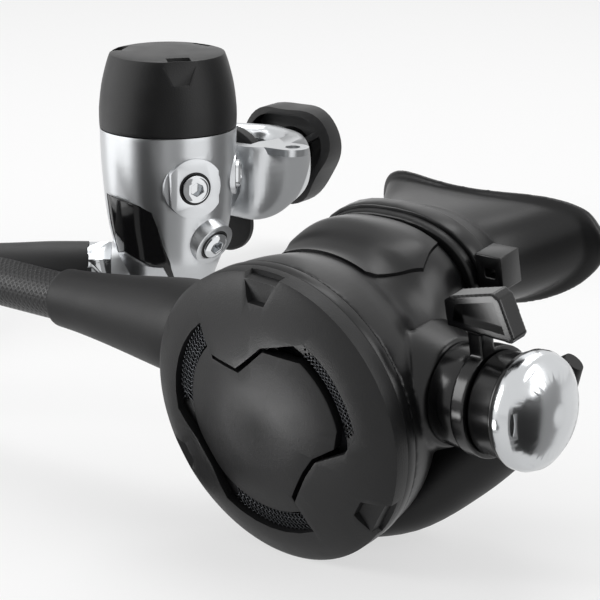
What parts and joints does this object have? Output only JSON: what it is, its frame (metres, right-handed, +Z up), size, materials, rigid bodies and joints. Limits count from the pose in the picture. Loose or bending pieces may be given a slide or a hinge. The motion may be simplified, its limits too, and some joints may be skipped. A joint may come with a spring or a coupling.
{
  "type": "scuba regulator set",
  "caption": "Diving regulator with a yoke first stage, a looped low-pressure hose and a second stage with purge button, adjustment knob, venturi lever and mouthpiece.",
  "frame": {"origin": "centre of the first stage's flat base, on the surface that the set stands on", "axes": "+Z up out of the base; -Y towards the second stage; the hose loop lies towards -X"},
  "size_m": [0.327, 0.3575, 0.0802],
  "materials": {
    "satin_chrome": "satin",
    "steel": "satin",
    "black_plastic": "matte",
    "gloss_black": "gloss",
    "grey_plastic": "matte",
    "rubber": "matte",
    "silicone": "matte",
    "bronze": "matte",
    "chrome": "polished"
  },
  "bodies": {
    "regulator": {"first_stage_body": "satin_chrome", "end_cap": "black_plastic", "main_spring": "steel", "spring_adjuster": "steel", "main_diaphragm": "rubber", "valve_lifter": "steel", "inlet_valve": "steel", "label_inlay": "gloss_black", "port_plugs": "chrome", "port_plug_seals": "rubber", "yoke": "satin_chrome", "yoke_retainer": "satin_chrome", "inlet_filter": "bronze", "dust_cap": "rubber", "hose_first_fitting": "chrome", "hose_first_boot": "rubber", "lp_hose": "rubber", "hose_second_boot": "rubber", "hose_second_fitting": "steel", "inlet_nut": "chrome", "housing": "black_plastic", "retaining_ring": "black_plastic", "front_cover": "grey_plastic", "cover_grille": "black_plastic", "purge_spring": "steel", "diaphragm": "silicone", "valve_barrel": "steel", "orifice_seat": "steel", "poppet_spring": "steel", "barrel_sleeve": "black_plastic", "exhaust_valve": "silicone", "exhaust_tee": "rubber", "mouthpiece": "rubber", "mouthpiece_tie": "black_plastic"},
    "purge": {"purge_button": "grey_plastic"},
    "plate": {"diaphragm_plate": "steel"},
    "lever": {"demand_lever": "steel"},
    "poppet": {"valve_poppet": "grey_plastic"},
    "adjuster": {"adjustment_knob": "chrome", "adjuster_spindle": "steel", "spindle_seal": "rubber"},
    "venturi": {"venturi_lever": "grey_plastic"},
    "vane": {"venturi_vane": "black_plastic"},
    "pad": {"screw_pad": "steel"},
    "screw": {"yoke_knob": "black_plastic", "yoke_screw": "chrome"}
  },
  "joints": [
    {"name": "purge_press", "type": "slide", "parent": "regulator", "child": "purge", "axis": [0.6483, 0.7405, 0.177], "range_m": [0, 0.003], "stiffness_N_per_m": 400, "springref_m": -0.002, "deforming": ["purge_spring"]},
    {"name": "plate_slide", "type": "slide", "parent": "regulator", "child": "plate", "axis": [0.6483, 0.7405, 0.177], "range_m": [0, 0.003]},
    {"name": "lever_tilt", "type": "hinge", "parent": "regulator", "child": "lever", "pos_m": [0.05411, -0.24846, 0.0429], "axis": [0.1166, 0.1332, -0.9842], "range_deg": [0, 10.1]},
    {"name": "poppet_slide", "type": "slide", "parent": "regulator", "child": "poppet", "axis": [0.7524, -0.6587, 0], "range_m": [0, 0.001], "deforming": ["poppet_spring"]},
    {"name": "breathing_adjustment", "type": "hinge", "parent": "regulator", "child": "adjuster", "pos_m": [0.09047, -0.26917, 0.04441], "axis": [0.7524, -0.6587, 0], "range_deg": [-360, 360]},
    {"name": "venturi_turn", "type": "hinge", "parent": "regulator", "child": "venturi", "pos_m": [0.08069, -0.26061, 0.04441], "axis": [0.7524, -0.6587, 0], "range_deg": [0, 60]},
    {"name": "vane_turn", "type": "hinge", "parent": "regulator", "child": "vane", "pos_m": [0.06399, -0.21896, 0.06127], "axis": [-0.1166, -0.1332, 0.9842], "range_deg": [0, 60]},
    {"name": "pad_slide", "type": "slide", "parent": "regulator", "child": "pad", "axis": [0.5446, 0.8387, 0], "range_m": [0, 0.018]},
    {"name": "yoke_screw_turn", "type": "hinge", "parent": "pad", "child": "screw", "pos_m": [0.03268, 0.05032, 0.0335], "axis": [0.5446, 0.8387, 0], "range_deg": [0, 4320]}
  ],
  "couplings": [
    {"joint": "plate_slide", "follows": "purge_press", "ratio": 1},
    {"joint": "lever_tilt", "follows": "purge_press", "rad_per_m": 58.178},
    {"joint": "poppet_slide", "follows": "purge_press", "ratio": 0.3333},
    {"joint": "vane_turn", "follows": "venturi_turn", "ratio": 1},
    {"joint": "yoke_screw_turn", "follows": "pad_slide", "rad_per_m": 4188.8}
  ]
}
